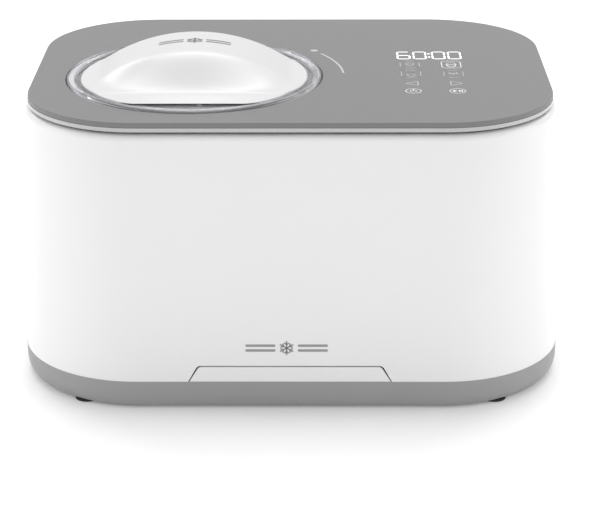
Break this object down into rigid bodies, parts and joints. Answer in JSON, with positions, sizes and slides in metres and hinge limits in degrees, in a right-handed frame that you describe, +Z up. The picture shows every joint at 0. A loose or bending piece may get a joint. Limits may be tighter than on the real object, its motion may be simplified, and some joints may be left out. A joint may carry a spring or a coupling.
{
  "type": "ice cream maker",
  "caption": "Countertop ice cream maker with built-in compressor: white body, grey top panel with timer display, round clear lid with white arched grip, lift-out bowl and paddle.",
  "frame": {"origin": "on the surface it stands on, under the middle of the body", "axes": "+Z up, front faces -Y, display to the +X side"},
  "size_m": [0.427, 0.3058, 0.254],
  "materials": {
    "body_white": "satin white moulding",
    "base_grey": "fine matt grey moulding",
    "deck_grey": "smooth satin grey panel",
    "trim_silver": "bright satin silver band",
    "frame_grey": "dark grey moulding",
    "lid_clear": "clear moulded plastic",
    "grip_white": "soft satin white",
    "silicone": "translucent silicone",
    "foot_rubber": "black rubber",
    "bowl_metal": "brushed and anodised",
    "well_metal": "drawn",
    "steel": "ground",
    "paddle_plastic": "translucent white",
    "foam": "rigid foam",
    "copper": "drawn copper tube",
    "compressor_black": "black enamel",
    "fin_metal": "thin plate",
    "inner_plastic": "natural moulding",
    "gear_plastic": "acetal",
    "board_green": "circuit board",
    "black_plastic": "black moulding",
    "screw_steel": "plated"
  },
  "bodies": {
    "base": {"base_tray": "base_grey", "rubber_feet": "foot_rubber", "body_shell": "body_white", "front_hatch": "body_white", "deck_frame": "frame_grey", "top_trim": "trim_silver", "deck_panel": "deck_grey", "control_board": "board_green", "display_module": "black_plastic", "touch_contacts": "steel", "deck_screws": "screw_steel", "well_collar": "inner_plastic", "freezer_well": "well_metal", "evaporator_coil": "copper", "insulation_foam": "foam", "foam_casing": "inner_plastic", "gearbox_plate": "steel", "gearbox_cover": "inner_plastic", "gearbox_screws": "screw_steel", "lower_bearing": "steel", "shaft_bush": "gear_plastic", "shaft_seal": "foot_rubber", "idler_pin": "steel", "motor_can": "steel", "compressor_lower": "compressor_black", "compressor_upper": "compressor_black", "compressor_core": "steel", "compressor_plate": "compressor_black", "compressor_grommets": "foot_rubber", "compressor_bolts": "screw_steel", "terminal_cover": "black_plastic", "condenser_tube": "copper", "condenser_fins": "fin_metal", "condenser_brackets": "steel", "fan_shroud": "black_plastic", "fan_motor": "black_plastic", "filter_drier": "copper", "liquid_line": "copper", "capillary_tube": "copper", "suction_line": "copper", "discharge_line": "copper", "power_board": "board_green", "board_standoffs": "inner_plastic", "power_components": "black_plastic", "power_inlet": "black_plastic", "control_cable": "black_plastic", "base_screws": "screw_steel"},
    "bowl": {"ice_bowl": "bowl_metal", "bowl_bail": "steel"},
    "paddle_stack": {"paddle_washer": "gear_plastic"},
    "paddle": {"paddle": "paddle_plastic"},
    "lid_seal": {"lid_gasket": "silicone"},
    "lid": {"clear_lid": "lid_clear", "lid_grip": "grip_white"},
    "drive": {"drive_shaft": "steel", "drive_gear": "gear_plastic"},
    "idler": {"idler_gear": "gear_plastic"},
    "motor_shaft": {"motor_rotor": "steel", "motor_pinion": "steel"},
    "fan": {"fan_blade": "black_plastic"}
  },
  "joints": [
    {"name": "bowl_lift", "type": "slide", "parent": "base", "child": "bowl", "axis": [0, 0, 1], "range_m": [0, 0.14]},
    {"name": "paddle_lift", "type": "slide", "parent": "bowl", "child": "paddle_stack", "axis": [0, 0, 1], "range_m": [0, 0.13]},
    {"name": "paddle_spin", "type": "hinge", "parent": "paddle_stack", "child": "paddle", "pos_m": [-0.076, -0.024, 0.1], "axis": [0, 0, 1], "continuous": true},
    {"name": "lid_lift", "type": "slide", "parent": "paddle_stack", "child": "lid_seal", "axis": [0, 0, 1], "range_m": [0, 0.1]},
    {"name": "lid_turn", "type": "hinge", "parent": "lid_seal", "child": "lid", "pos_m": [-0.076, -0.024, 0.1], "axis": [0, 0, 1], "range_deg": [0, 34]},
    {"name": "drive_spin", "type": "hinge", "parent": "base", "child": "drive", "pos_m": [-0.076, -0.024, 0.06], "axis": [0, 0, 1], "continuous": true},
    {"name": "idler_spin", "type": "hinge", "parent": "base", "child": "idler", "pos_m": [-0.03662, -0.024, 0.06], "axis": [0, 0, 1], "continuous": true},
    {"name": "motor_spin", "type": "hinge", "parent": "base", "child": "motor_shaft", "pos_m": [-0.0079, -0.0481, 0.04], "axis": [0, 0, 1], "continuous": true},
    {"name": "fan_spin", "type": "hinge", "parent": "base", "child": "fan", "pos_m": [0.1, 0.066, 0.092], "axis": [0, -1, 0], "continuous": true}
  ],
  "couplings": [
    {"joint": "paddle_spin", "follows": "drive_spin", "ratio": 1},
    {"joint": "idler_spin", "follows": "drive_spin", "ratio": -3.5},
    {"joint": "motor_spin", "follows": "drive_spin", "ratio": 14}
  ]
}
